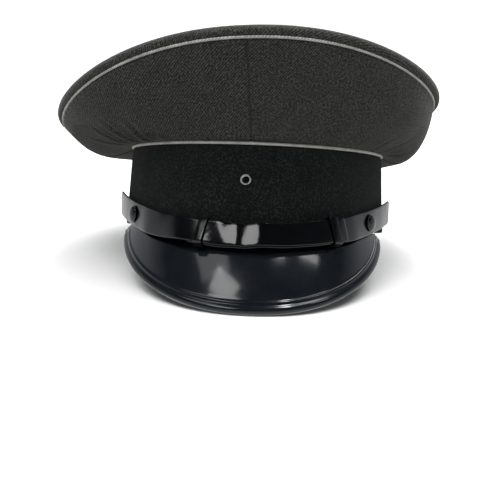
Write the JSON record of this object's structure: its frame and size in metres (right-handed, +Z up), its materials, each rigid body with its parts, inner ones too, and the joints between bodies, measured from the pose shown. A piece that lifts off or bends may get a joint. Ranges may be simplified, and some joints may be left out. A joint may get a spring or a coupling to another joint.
{
  "type": "military peaked cap",
  "caption": "Service cap with a wired, flaring cloth crown, a plain felt band, a steep glossy peak with a raised rim, and a front chin strap held by side buttons.",
  "frame": {"origin": "centre of the resting cap's footprint box, on the surface it rests on", "axes": "+Z up, -Y the way the peak points, +X to the wearer's left, which is the viewer's right from the front"},
  "size_m": [0.2526, 0.305, 0.1563],
  "materials": {
    "crown_cloth": "stone-grey wool twill with a fine diagonal weave, matt",
    "piping": "off-white woven piping over a cord, matt",
    "band_felt": "very dark green-black felt with a fine nap, matt",
    "peak_gloss": "black vulcanised peak with a thick glossy lacquer",
    "strap_gloss": "black lacquered strap, glossy, with rounded edges",
    "button_lacquer": "black lacquered metal dome, glossy",
    "eyelet_metal": "plain rolled eyelet, satin silver"
  },
  "bodies": {
    "root": {"crown_top": "crown_cloth", "crown_panel_front_left": "crown_cloth", "crown_panel_front_right": "crown_cloth", "crown_panel_rear_right": "crown_cloth", "crown_panel_rear_left": "crown_cloth", "crown_piping": "piping", "band_piping": "piping", "band": "band_felt", "peak": "peak_gloss", "chin_strap_outer": "strap_gloss", "chin_strap_inner": "strap_gloss", "strap_keeper_left": "strap_gloss", "strap_keeper_right": "strap_gloss", "side_button_left": "button_lacquer", "side_button_right": "button_lacquer", "badge_eyelet": "eyelet_metal"}
  },
  "joints": []
}
